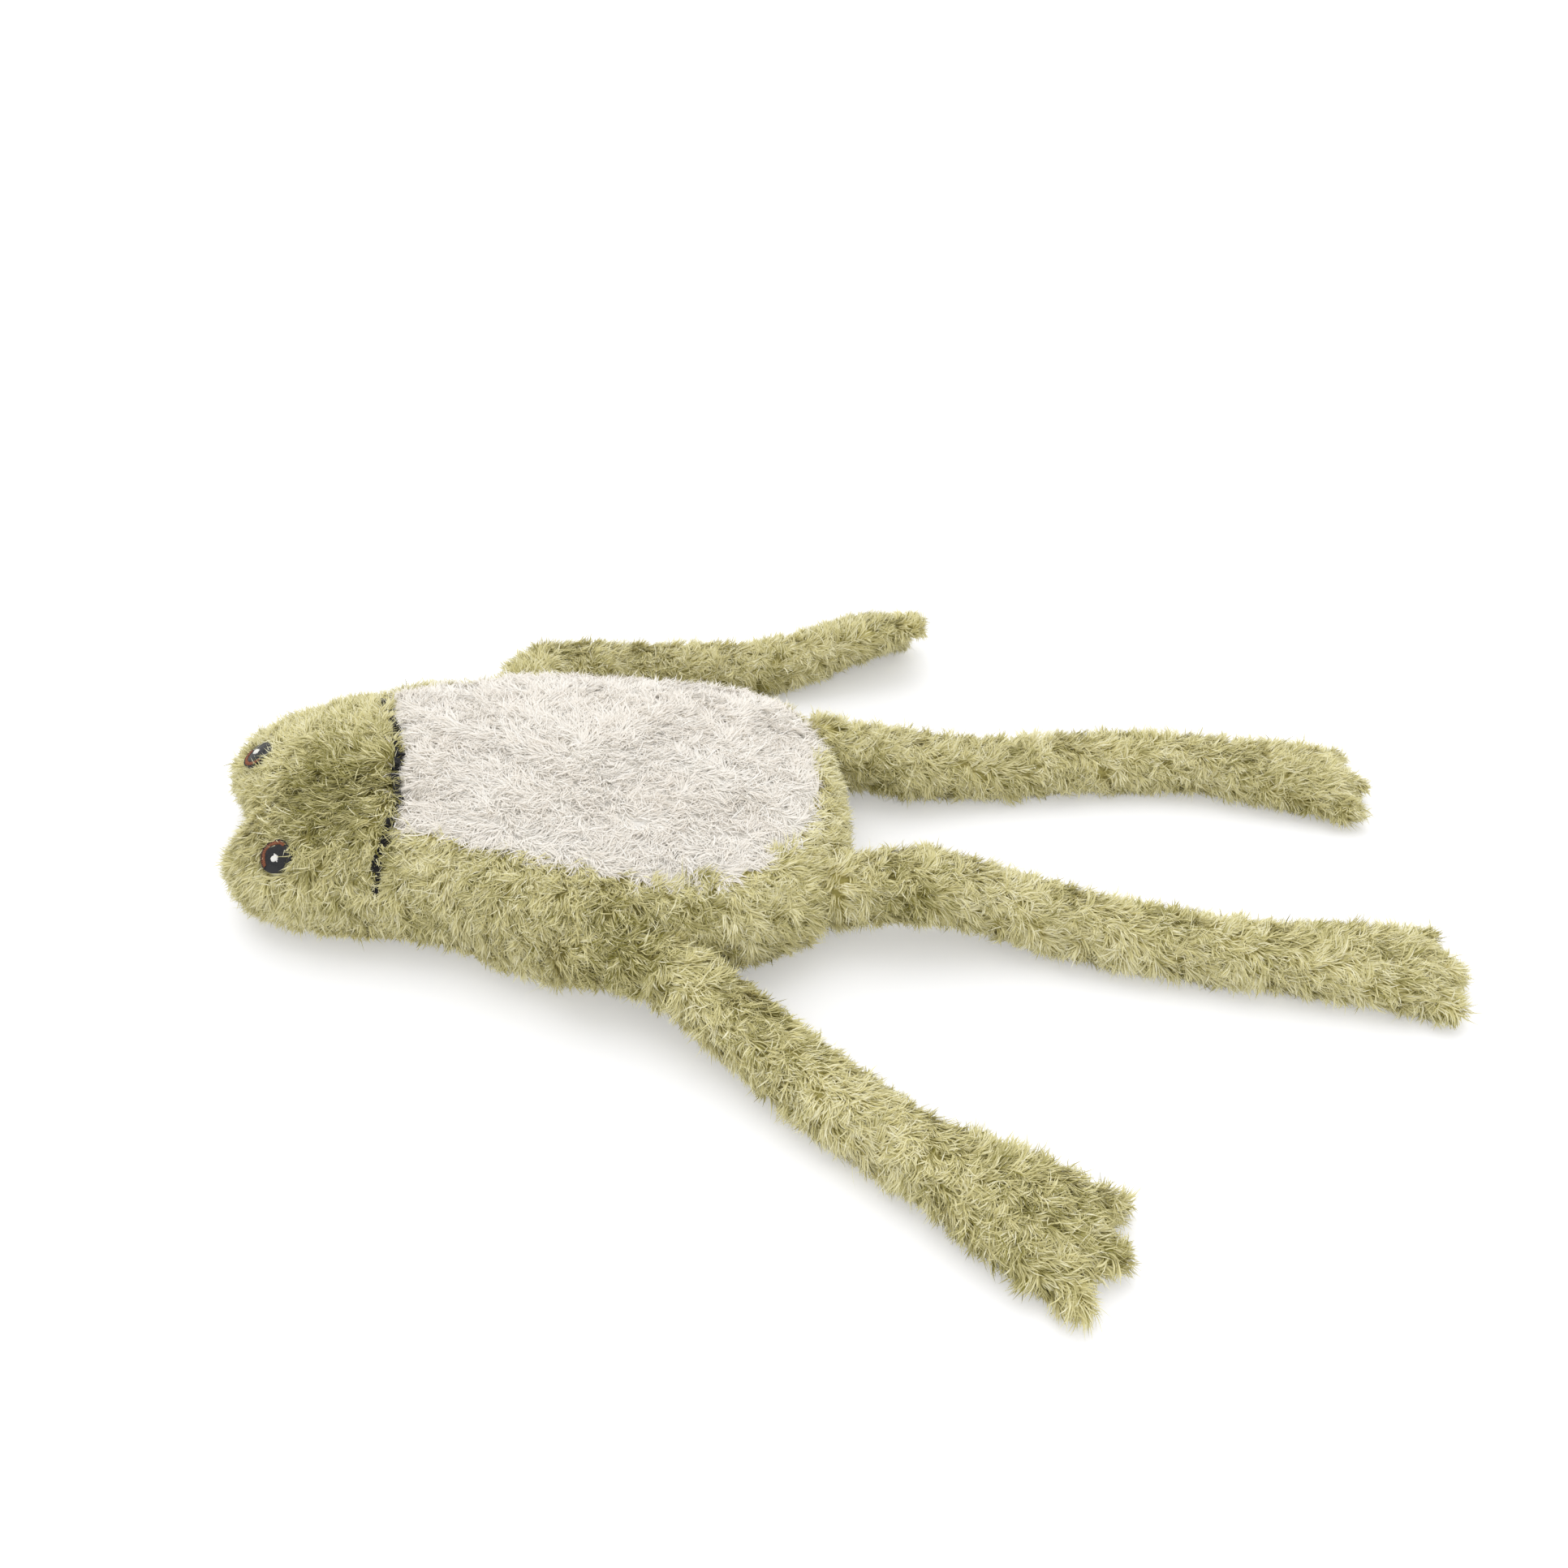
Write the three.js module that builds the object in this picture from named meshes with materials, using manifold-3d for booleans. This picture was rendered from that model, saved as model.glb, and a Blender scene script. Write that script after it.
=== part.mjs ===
// A stuffed frog with long limp limbs, lying on its back: millimetres, +Z up, head at -X and feet at +X.
// The origin lies on the surface it rests on, under the middle of the torso.
// Each solid ends at the dense level of its pile, so a cover is as thick as its knit backing and pile.
import * as THREE from "three";
import { mergeVertices } from "three/addons/utils/BufferGeometryUtils.js";
import Module from "manifold-3d";

const wasm = await Module();
wasm.setup();

// Plush
const coverThickness = 5; // knit backing and the dense part of the pile
const seamGap = 0.3; // between two sewn pieces, and between a cover and its stuffing
const restCut = 0.5; // how far the frog's own weight flattens it

// Head and torso
const bodyLength = 275; // from the eye bumps to the crotch
const bodyWidth = 170;
const crownHeight = 40; // of the belly over the side seam
const backDepth = 18; // of the back under the side seam
const bodyFullness = 2.5; // 2 is an ellipse, more is fuller
const headEnd = 141; // from the origin to the eye bumps
const headTurn = 12.5; // degrees that its left side lies ahead of its right, from head to shoulders
const hipTurn = 3; // the same at the hips
const headLean = 8; // of the eye bumps to its right
const cheekTuck = 13; // of its right cheek towards the middle
const cheekStart = 10; // from the origin to where that begins, towards the head
const cheekEnd = 65; // to where all of it is reached

// Points of the half outline: share of the length from the head end, share of the half width
const bodyOutlineShares = [
  [0.046, 0], [0.03, 0.13], [0.004, 0.27], [0, 0.38], [0.013, 0.52], [0.05, 0.66], [0.11, 0.77],
  [0.2, 0.87], [0.3, 0.93], [0.42, 0.97], [0.55, 1], [0.66, 1], [0.76, 0.975], [0.85, 0.92],
  [0.92, 0.82], [0.965, 0.66], [0.99, 0.44], [1, 0.2], [1, 0],
];

// Neck fold under the mouth
const neckAxisX = -40;
const neckAxisHeight = 27;
const neckRadius = 33;

// Mouth trim and belly panel
const mouthWidth = 116;
const mouthTrimThickness = 2.4;
const bellySideMargin = 18; // of green beside the panel
const bellyEndMargin = 16; // of green below it
const bellyStartLap = 43; // of its outline past the neck
const bellyOutlineShares = [
  [0, 0.6], [0.17, 0.7], [0.35, 0.84], [0.55, 0.97], [0.72, 1], [0.85, 0.86], [0.94, 0.56], [1, 0],
];

// Embroidered eyes
const eyePupilRadius = 5.4;
const eyeRimWidth = 1.4;
const eyeRimSpread = 170; // degrees of the rust arc
const eyeRimMiddle = 35; // degrees from the top of the head inwards
const eyeGlintRadius = 1.9;
const eyeGlintOffset = 1; // outwards from the pupil's middle
const eyeProud = 0.8; // of the pile's dense level
const eyeDepth = 2.4; // into the cover
const eyeSpokeShares = { left: 0.043, right: 0.078 }; // round the outline from the notch between them
const eyeRingShares = { left: 0.87, right: 0.86 }; // from the middle of the body to its outline

// Limbs
const armWidth = 34;
const armHeight = 25;
const legWidth = 33;
const legHeight = 25;
const limbFullness = 2.3;
const rootRadius = 13; // of the round end that is sewn into the body
const rootOut = 1.5; // its middle beyond the body's seam
const armLength = 230; // to the tips of the toes
const legLength = 250;
const elbowFromTip = 110;
const kneeFromTip = 142;
const bendRadius = 23; // of the rounded crease in an elbow or a knee
const shoulderX = 2;
const shoulderStagger = 4; // of each arm from there, the right one towards the feet
const hipSpreadShare = 0.54; // of the half width, from the middle to a hip
const rootHeight = 21;
const rootClearance = 0.8; // round end to body, so that it turns
const seamTabRadius = 7.4;
const seamTabThickness = 3;

// Hands and feet
const palmWidth = 52;
const soleWidth = 46;
const toeLength = 24;
const toeWidth = 17.5;
const toeHeight = 15;
const toeSpreadShare = 0.34; // of the palm or sole, an outer toe from the middle one
const toeFan = 30; // degrees that an outer toe turns out
const outerToeBack = 6; // of an outer toe behind the middle one

const facets = { bodySpokes: 42, bodyRings: 5, limbSides: 10, bellyEdge: 44, patchEdge: 14, post: 24, roll: 36 };
const wallOverrun = 2; // of a cutter past what it cuts
const farReach = 400; // past everything

const degrees = Math.PI / 180;
const seamHeight = backDepth - restCut;
const bodyEnd = bodyLength - headEnd;

// A geometry as a solid with shared corners, moved to its place.
const asMade = new THREE.Matrix4();
function solidOf(geometry, place = asMade) {
  const bare = geometry.clone();
  bare.deleteAttribute("normal");
  bare.deleteAttribute("uv");
  const merged = mergeVertices(bare, seamGap / 1000).applyMatrix4(place);
  return new wasm.Manifold(new wasm.Mesh({
    numProp: 3,
    vertProperties: merged.attributes.position.array,
    triVerts: new Uint32Array(merged.index.array),
  }));
}

// A solid as a mesh, added to the frog under its name.
const frog = new THREE.Group();
function piece(name, solid, material) {
  const { vertProperties, triVerts } = solid.getMesh();
  const geometry = new THREE.BufferGeometry();
  geometry.setAttribute("position", new THREE.BufferAttribute(vertProperties, 3));
  geometry.setIndex(new THREE.BufferAttribute(triVerts, 1));
  geometry.computeVertexNormals();
  const mesh = new THREE.Mesh(geometry, material);
  mesh.name = name;
  frog.add(mesh);
}

const placeAt = (x, y, z) => new THREE.Matrix4().makeTranslation(x, y, z);

function box(x0, x1, y0, y1, z0, z1) {
  const place = placeAt((x0 + x1) / 2, (y0 + y1) / 2, (z0 + z1) / 2);
  return solidOf(new THREE.BoxGeometry(x1 - x0, y1 - y0, z1 - z0), place);
}

const above = (z) => box(-farReach, farReach, -farReach, farReach, z, farReach);
const below = (z) => box(-farReach, farReach, -farReach, farReach, -farReach, z);

function ball(centre, radius) {
  return solidOf(new THREE.SphereGeometry(radius, 14, 8), placeAt(...centre));
}

// An upright cylinder through the piece.
function post(x, y, radius) {
  const geometry = new THREE.CylinderGeometry(radius, radius, 2 * farReach, facets.post);
  return solidOf(geometry.rotateX(Math.PI / 2), placeAt(x, y, 0));
}

// A rounded section: the point at an angle on a superellipse.
function roundedSection(angle, fullness) {
  const power = 2 / fullness;
  const c = Math.cos(angle);
  const s = Math.sin(angle);
  return [Math.sign(c) * Math.abs(c) ** power, Math.sign(s) * Math.abs(s) ** power];
}

// The row of a table at a place between its rows.
function read(shares, at) {
  let i = 1;
  while (i < shares.length - 1 && shares[i][0] < at) i++;
  const [a, b] = [shares[i - 1], shares[i]];
  const t = THREE.MathUtils.clamp((at - a[0]) / (b[0] - a[0]), 0, 1);
  return a.map((value, k) => value + (b[k] - value) * t);
}

// The closed outline of the body or belly from its half table, as evenly spaced points.
function outlineFrom(shares, start, length, width, count) {
  const half = shares.map(([along, across]) => [start + along * length, (across * width) / 2]);
  const other = half.filter(([, y]) => y > 0).map(([x, y]) => [x, -y]).reverse();
  const points = [...half, ...other].map(([x, y]) => new THREE.Vector3(x, y, 0));
  return new THREE.CatmullRomCurve3(points, true, "centripetal").getSpacedPoints(count).slice(0, count);
}

// It lies limp: a point as drawn square moves ahead on its left side, and the eye bumps to its right.
function laid(x, y) {
  const { lerp, smoothstep } = THREE.MathUtils;
  const turn = lerp(headTurn, hipTurn, smoothstep(x, shoulderX, bodyEnd)) * degrees;
  const lean = headLean * smoothstep(-x, -neckAxisX, headEnd);
  const tuck = cheekTuck * smoothstep(-y, 0, bodyWidth / 2) * smoothstep(-x, cheekStart, cheekEnd);
  return [x - y * Math.tan(turn), y - lean + tuck];
}

// The point of the body's upper or lower surface on a spoke, at a ring's angle from the middle.
function pillowPoint(edge, ringAngle, inset, side) {
  const [out, up] = roundedSection(Math.PI / 2 - ringAngle, bodyFullness);
  const shrink = 1 - (2 * inset) / bodyWidth;
  const shrinkLong = 1 - (2 * inset) / bodyLength;
  const height = (side > 0 ? crownHeight : backDepth) - inset;
  const [x, y] = laid(edge.x * out * shrinkLong, edge.y * out * shrink);
  return new THREE.Vector3(x, y, seamHeight + side * height * up);
}

const bodyEdge = outlineFrom(bodyOutlineShares, -headEnd, bodyLength, bodyWidth, facets.bodySpokes);

// Head and torso as one pillow, smaller on all sides by the inset.
function pillow(inset) {
  const positions = [];
  const index = [];
  const add = (p) => positions.push(p.x, p.y, p.z) / 3 - 1;
  const ringOf = (ring, side) =>
    bodyEdge.map((edge) => add(pillowPoint(edge, (ring / facets.bodyRings) * (Math.PI / 2), inset, side)));
  const rim = ringOf(facets.bodyRings, 1);
  for (const side of [1, -1]) {
    const face = (a, b, c) => index.push(...(side > 0 ? [a, b, c] : [a, c, b]));
    let outer = rim;
    for (let ring = facets.bodyRings - 1; ring >= 1; ring--) {
      const inner = ringOf(ring, side);
      for (let i = 0; i < facets.bodySpokes; i++) {
        const j = (i + 1) % facets.bodySpokes;
        face(outer[i], inner[j], outer[j]);
        face(outer[i], inner[i], inner[j]);
      }
      outer = inner;
    }
    const middle = add(pillowPoint(bodyEdge[0], 0, inset, side));
    for (let i = 0; i < facets.bodySpokes; i++) face(middle, outer[(i + 1) % facets.bodySpokes], outer[i]);
  }
  const geometry = new THREE.BufferGeometry();
  geometry.setAttribute("position", new THREE.Float32BufferAttribute(positions, 3));
  geometry.setIndex(index);
  return solidOf(geometry);
}

// Materials
const plush = (color) => new THREE.MeshStandardMaterial({ color, roughness: 0.95, metalness: 0 });
const greenPlush = plush(0xa3a467);
const creamPlush = plush(0xe9e2d9);
const blackFelt = plush(0x17181a);
const blackThread = plush(0x0f0f12);
const rustThread = plush(0x8a5046);
const whiteThread = plush(0xf4f1ee);
const fibreFill = plush(0xf6f5f1);
const tabCloth = plush(0x8f9458);

// Zones on either side of the neck fold
const neckPlace = new THREE.Matrix4().makeRotationZ(headTurn * degrees)
  .setPosition(neckAxisX, 0, neckAxisHeight);
const neckRoll = (radius) =>
  solidOf(new THREE.CylinderGeometry(radius, radius, 2 * farReach, facets.roll), neckPlace);
const halfSpace = new THREE.BoxGeometry(farReach, 2 * farReach, 2 * farReach)
  .translate(-farReach / 2, 0, 0);
const sideOfNeck = (side) => solidOf(side < 0 ? halfSpace : halfSpace.clone().rotateZ(Math.PI), neckPlace);
const torsoZone = sideOfNeck(1).add(neckRoll(neckRadius));
const headZone = sideOfNeck(-1).subtract(neckRoll(neckRadius + seamGap));

const bodyOuter = pillow(0).subtract(below(0));
const bodyCover = bodyOuter.subtract(pillow(coverThickness));
const bodyFill = pillow(coverThickness + seamGap);

// Where each limb is sewn in, just outside the seam
const shoulderShare = (shoulderX + headEnd) / bodyLength;
const shoulderY = (read(bodyOutlineShares, shoulderShare)[1] * bodyWidth) / 2 + rootOut;
const hipOutlineShares = bodyOutlineShares.filter(([along]) => along > 0.5)
  .map(([along, across]) => [across, along]).reverse();
const hipY = (hipSpreadShare * bodyWidth) / 2;
const hipX = read(hipOutlineShares, hipSpreadShare)[1] * bodyLength - headEnd + rootOut;
const roots = {
  right_arm: [...laid(shoulderX + shoulderStagger, -shoulderY), rootHeight],
  left_arm: [...laid(shoulderX - shoulderStagger, shoulderY), rootHeight],
  right_leg: [...laid(hipX, -hipY), rootHeight],
  left_leg: [...laid(hipX, hipY), rootHeight],
};
let sockets = ball(roots.right_arm, rootRadius + rootClearance);
for (const name of ["left_arm", "right_leg", "left_leg"])
  sockets = sockets.add(ball(roots[name], rootRadius + rootClearance));

// The room that the body takes from a limb beside it: none of a limb lies under the side seam.
function bodyRoom(clearance) {
  const shrink = 1 + (2 * clearance) / bodyWidth;
  const shape = new THREE.Shape(bodyEdge.map((edge) => {
    const [x, y] = laid(edge.x * shrink, edge.y * shrink);
    return new THREE.Vector2(x, y);
  }));
  const geometry = new THREE.ExtrudeGeometry(shape, { depth: farReach, bevelEnabled: false });
  return pillow(-clearance).add(solidOf(geometry, placeAt(0, 0, seamHeight - farReach)));
}

// Torso covers, belly panel and mouth trim
function bellyPrism(shrink) {
  const start = neckAxisX - bellyStartLap;
  const length = bodyEnd - bellyEndMargin - start - shrink;
  const width = bodyWidth - 2 * (bellySideMargin + shrink);
  const outline = outlineFrom(bellyOutlineShares, start, length, width, facets.bellyEdge);
  const shape = new THREE.Shape(outline.map((p) => new THREE.Vector2(...laid(p.x, p.y))));
  const geometry = new THREE.ExtrudeGeometry(shape, { depth: farReach, bevelEnabled: false });
  return solidOf(geometry, placeAt(0, 0, seamHeight));
}

const trimBand = (outer, inner, halfLength) => neckRoll(outer).subtract(neckRoll(inner)).intersect(
  box(-farReach, neckAxisX - headLean, -halfLength, halfLength, seamHeight + crownHeight / 3, farReach),
);

const torsoCover = bodyCover.intersect(torsoZone).subtract(sockets);
const trimCut = trimBand(
  neckRadius + wallOverrun, neckRadius - mouthTrimThickness - seamGap, mouthWidth / 2 + seamGap,
);
piece("torso_back_panel", torsoCover.intersect(below(seamHeight - seamGap / 2)), greenPlush);
const torsoTop = torsoCover.intersect(above(seamHeight + seamGap / 2)).subtract(trimCut);
piece("torso_front_panel", torsoTop.subtract(bellyPrism(0)), greenPlush);
piece("belly_panel", torsoTop.intersect(bellyPrism(seamGap)), creamPlush);
piece("mouth_trim", bodyCover.intersect(
  trimBand(neckRadius, neckRadius - mouthTrimThickness, mouthWidth / 2),
), blackFelt);
piece("torso_stuffing", bodyFill.intersect(torsoZone).subtract(sockets), fibreFill);

// Embroidery lies in the head's front panel, square to its surface.
function eyeFrame(side, spokeShare, ringShare) {
  const at = (spokeShift, ringShift) => {
    const turn = (spokeShare + spokeShift) * facets.bodySpokes;
    const low = Math.floor(turn);
    const edge = bodyEdge[low].clone().lerp(bodyEdge[low + 1], turn - low);
    edge.y *= side;
    return pillowPoint(edge, Math.asin((ringShare + ringShift) ** (bodyFullness / 2)), 0, 1);
  };
  const step = 0.01;
  const middle = at(0, 0);
  const outward = at(0, step).sub(middle);
  const along = at(step, 0).sub(middle);
  const normal = outward.cross(along).normalize();
  if (normal.z < 0) normal.negate();
  const toTop = new THREE.Vector3(-1, 0, 0).projectOnPlane(normal).normalize();
  return new THREE.Matrix4().makeBasis(toTop, normal.clone().cross(toTop), normal).setPosition(middle);
}

// A stitched patch with an outline, from its depth in the cover to its height over it.
function patch(frame, shape, extra = 0) {
  const geometry = new THREE.ExtrudeGeometry(shape, {
    depth: eyeDepth + eyeProud + 2 * extra, bevelEnabled: false, curveSegments: facets.patchEdge,
  });
  return solidOf(geometry, frame.clone().multiply(placeAt(0, 0, -eyeDepth - extra)));
}

function disc(radius, x = 0, y = 0) {
  return new THREE.Shape().absarc(x, y, radius, 0, 2 * Math.PI);
}

function arcBand(inner, outer, middleAngle, spread) {
  const shape = new THREE.Shape();
  const start = (middleAngle - spread / 2) * degrees;
  const end = (middleAngle + spread / 2) * degrees;
  shape.absarc(0, 0, outer, start, end, false);
  shape.absarc(0, 0, inner, end, start, true);
  return shape;
}

const headCover = bodyCover.intersect(headZone);
let headFront = headCover.intersect(above(seamHeight + seamGap / 2));
for (const [name, side] of [["left", 1], ["right", -1]]) {
  const frame = eyeFrame(side, eyeSpokeShares[name], eyeRingShares[name]);
  const glint = disc(eyeGlintRadius, 0, -side * eyeGlintOffset);
  const glintHole = disc(eyeGlintRadius + seamGap, 0, -side * eyeGlintOffset);
  const rimInner = eyePupilRadius + seamGap;
  const rimOuter = rimInner + eyeRimWidth;
  const rim = arcBand(rimInner, rimOuter, side * eyeRimMiddle, eyeRimSpread);
  const pupil = patch(frame, disc(eyePupilRadius)).subtract(patch(frame, glintHole, wallOverrun));
  piece(`${name}_eye_pupil`, pupil, blackThread);
  piece(`${name}_eye_rim`, patch(frame, rim), rustThread);
  piece(`${name}_eye_glint`, patch(frame, glint), whiteThread);
  headFront = headFront.subtract(patch(frame, disc(rimOuter + seamGap), seamGap));
}
piece("head_front_panel", headFront, greenPlush);
piece("head_back_panel", headCover.intersect(below(seamHeight - seamGap / 2)), greenPlush);
piece("head_stuffing", bodyFill.intersect(headZone), fibreFill);

// Width and height of a limb along it, as shares: place, half width, half height
const armShares = [
  [0, 0.66, 0.86], [0.05, 0.72, 0.92], [0.14, 0.86, 0.98], [0.3, 0.95, 1], [0.5, 0.98, 1],
  [0.68, 1.03, 0.98],
];
const legShares = [
  [0, 0.68, 0.86], [0.05, 0.8, 0.92], [0.13, 0.98, 1], [0.3, 1.02, 1], [0.5, 0.99, 1], [0.68, 1, 0.98],
];
const palmShares = [[0.35, 0.92, 0.88], [0.68, 1, 0.8], [0.9, 0.78, 0.66], [1, 0.4, 0.4]];

// The line of a limb from its root, at shares of its length: heading and roll in degrees, lift as a share
const arm = {
  length: armLength, width: armWidth, height: armHeight, shares: armShares, palm: palmWidth,
  bendFromTip: elbowFromTip,
};
const leg = {
  length: legLength, width: legWidth, height: legHeight, shares: legShares, palm: soleWidth,
  bendFromTip: kneeFromTip,
};
const limbs = {
  right_arm: {
    ...arm,
    headingShares: [
      [0, -2], [0.1, -13], [0.2, -32], [0.34, -42], [0.5, -39], [0.62, -35], [0.75, -32], [1, -27],
    ],
    liftShares: [[0, 1], [0.2, 1], [0.4, 0.3], [0.54, 0], [1, 0]],
    rollShares: [[0, 0], [1, 0]],
  },
  left_arm: {
    ...arm,
    headingShares: [[0, 102], [0.05, 92], [0.12, 42], [0.2, 3], [0.5, -3], [0.58, 8], [0.68, 26], [1, 20]],
    liftShares: [[0, 1], [0.08, 0.6], [0.2, 0.1], [0.3, 0], [1, 0]],
    rollShares: [[0, 0], [0.5, 0], [0.75, 32], [1, 38]],
  },
  right_leg: {
    ...leg,
    headingShares: [[0, 4], [0.14, -2], [0.28, -13], [0.5, -14], [0.7, -6], [1, -2]],
    liftShares: [[0, 1], [0.08, 1.5], [0.16, 1.3], [0.3, 0.4], [0.42, 0], [1, 0]],
    rollShares: [[0, 0], [1, 0]],
  },
  left_leg: {
    ...leg,
    headingShares: [[0, -10], [0.1, -3], [0.3, 5], [0.5, 3], [0.72, -8], [0.88, -10], [1, 4]],
    liftShares: [[0, 1], [0.1, 0.5], [0.2, 0.1], [0.3, 0], [1, 0]],
    rollShares: [[0, 0], [1, 0]],
  },
};

// A place on the limb's line: where it is seen from above, its heading, roll and lift.
function placeOn(root, limb, along) {
  const steps = 60;
  const at = (share, table) => read(limb[table], share)[1];
  let [x, y] = root;
  for (let i = 0; i < steps; i++) {
    const heading = at((((i + 0.5) / steps) * along) / limb.length, "headingShares") * degrees;
    x += (Math.cos(heading) * along) / steps;
    y += (Math.sin(heading) * along) / steps;
  }
  const share = along / limb.length;
  const heading = at(share, "headingShares") * degrees;
  const roll = at(share, "rollShares") * degrees;
  const lift = (rootHeight + restCut - limb.height / 2) * at(share, "liftShares");
  return { x, y, heading, roll, lift };
}

// The frame of a section that rests or lifts with its lowest side down: along, across and up its columns.
function sectionFrame({ x, y, heading, roll, lift }, halfWidth, halfHeight) {
  const [c, s] = [Math.cos(heading), Math.sin(heading)];
  const along = new THREE.Vector3(c, s, 0);
  const across = new THREE.Vector3(-s * Math.cos(roll), c * Math.cos(roll), -Math.sin(roll));
  const up = new THREE.Vector3().crossVectors(along, across);
  const power = limbFullness / (limbFullness - 1);
  const reach = (halfWidth * Math.sin(roll)) ** power + (halfHeight * Math.cos(roll)) ** power;
  return new THREE.Matrix4().makeBasis(along, across, up)
    .setPosition(x, y, reach ** (1 / power) - restCut + lift);
}

// A closed skin over rounded sections, each across the limb's line, smaller on all sides by the inset.
function loft(sections, inset) {
  const positions = [];
  const index = [];
  const add = (p) => positions.push(p.x, p.y, p.z) / 3 - 1;
  const middles = [];
  const rings = sections.map(({ place, halfWidth, halfHeight }) => {
    const frame = sectionFrame(place, halfWidth, halfHeight);
    middles.push(new THREE.Vector3().setFromMatrixPosition(frame));
    return Array.from({ length: facets.limbSides }, (_, i) => {
      const [across, up] = roundedSection(((i + 0.5) / facets.limbSides) * 2 * Math.PI, limbFullness);
      return add(new THREE.Vector3(
        0,
        across * (halfWidth - inset),
        up * (halfHeight - inset),
      ).applyMatrix4(frame));
    });
  });
  for (let s = 1; s < rings.length; s++)
    for (let i = 0; i < facets.limbSides; i++) {
      const j = (i + 1) % facets.limbSides;
      index.push(rings[s - 1][i], rings[s - 1][j], rings[s][j]);
      index.push(rings[s - 1][i], rings[s][j], rings[s][i]);
    }
  const first = add(middles[0]);
  const last = add(middles[middles.length - 1]);
  for (let i = 0; i < facets.limbSides; i++) {
    const j = (i + 1) % facets.limbSides;
    index.push(first, rings[0][j], rings[0][i]);
    index.push(last, rings[rings.length - 1][i], rings[rings.length - 1][j]);
  }
  const geometry = new THREE.BufferGeometry();
  geometry.setAttribute("position", new THREE.Float32BufferAttribute(positions, 3));
  geometry.setIndex(index);
  return solidOf(geometry);
}

// The sleeve and palm of a limb, smaller on all sides by the inset, from a start along its line.
function sleeve(root, limb, inset = 0, start = 0) {
  const palmEnd = limb.length - toeLength / 2;
  const palmStart = palmEnd - limb.palm;
  const stations = [];
  for (const [share, w, h] of limb.shares)
    stations.push([share * limb.length, (w * limb.width) / 2, (h * limb.height) / 2]);
  for (const [share, w, h] of palmShares)
    stations.push([palmStart + share * limb.palm, (w * limb.palm) / 2, (h * limb.height) / 2]);
  const [, startWidth, startHeight] = read(stations, start);
  const kept = [[start, startWidth, startHeight]];
  kept.push(...stations.filter(([along]) => along > start && along <= palmEnd - inset));
  // More stations keep the line smooth where the limb turns.
  const spacing = limb.width / 1.7;
  const dense = [kept[0]];
  for (let i = 1; i < kept.length; i++) {
    const parts = Math.max(1, Math.round((kept[i][0] - kept[i - 1][0]) / spacing));
    for (let k = 1; k <= parts; k++)
      dense.push(kept[i - 1].map((value, n) => value + ((kept[i][n] - value) * k) / parts));
  }
  return loft(dense.map(([along, halfWidth, halfHeight]) => ({
    place: placeOn(root, limb, along), halfWidth, halfHeight,
  })), inset);
}

function toes(root, limb) {
  const place = placeOn(root, limb, limb.length - toeLength / 2);
  const toeSpread = toeSpreadShare * limb.palm;
  const frame = sectionFrame(place, toeSpread + toeWidth / 2, toeHeight / 2);
  let all;
  for (const side of [-1, 0, 1]) {
    const place = frame.clone()
      .multiply(placeAt(-Math.abs(side) * outerToeBack, side * toeSpread, 0))
      .multiply(new THREE.Matrix4().makeRotationZ(side * toeFan * degrees))
      .multiply(new THREE.Matrix4().makeScale(toeLength, toeWidth, toeHeight));
    const toe = solidOf(new THREE.SphereGeometry(1 / 2, 10, 6), place);
    all = all ? all.add(toe) : toe;
  }
  return all;
}

// Each limb: its seam tab, its two lengths of sleeve and their stuffing
for (const [name, limb] of Object.entries(limbs)) {
  const root = roots[name];
  const [side, kind] = name.split("_");
  const upperName = kind === "arm" ? `${side}_upper_arm` : `${side}_thigh`;
  const lowerName = kind === "arm" ? `${side}_forearm` : `${side}_shin`;
  const innerRoot = rootRadius - coverThickness;

  const outer = sleeve(root, limb).add(toes(root, limb)).subtract(bodyRoom(rootClearance))
    .add(ball(root, rootRadius)).subtract(below(0));
  const hollow = sleeve(root, limb, coverThickness, innerRoot / 2)
    .subtract(bodyRoom(rootClearance + coverThickness)).add(ball(root, innerRoot));
  const cover = outer.subtract(hollow);
  const fill = sleeve(root, limb, coverThickness + seamGap, innerRoot / 2)
    .subtract(bodyRoom(rootClearance + coverThickness + seamGap)).subtract(ball(root, innerRoot + seamGap));

  // The crease is a rounded end of the upper length in a hollow end of the lower one.
  const bend = placeOn(root, limb, limb.length - limb.bendFromTip);
  const across = new THREE.Matrix4().makeRotationZ(bend.heading).setPosition(bend.x, bend.y, 0);
  const beforeBend = solidOf(halfSpace, across);
  const upper = (solid) => solid.intersect(beforeBend.add(post(bend.x, bend.y, bendRadius)));
  const lower = (solid) => solid.subtract(beforeBend).subtract(post(bend.x, bend.y, bendRadius + seamGap));

  const tab = new THREE.CylinderGeometry(seamTabRadius, seamTabRadius, seamTabThickness, 20);
  piece(`${name}_seam_tab`, solidOf(tab.rotateX(Math.PI / 2), placeAt(...root)), tabCloth);
  piece(`${upperName}_sleeve`, upper(cover), greenPlush);
  piece(`${upperName}_stuffing`, upper(fill), fibreFill);
  piece(`${lowerName}_sleeve`, lower(cover), greenPlush);
  piece(`${lowerName}_stuffing`, lower(fill), fibreFill);
}

export default frog;
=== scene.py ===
import math

import bpy
import numpy as np
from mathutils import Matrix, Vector
from mathutils.bvhtree import BVHTree
from mathutils.kdtree import KDTree


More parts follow.
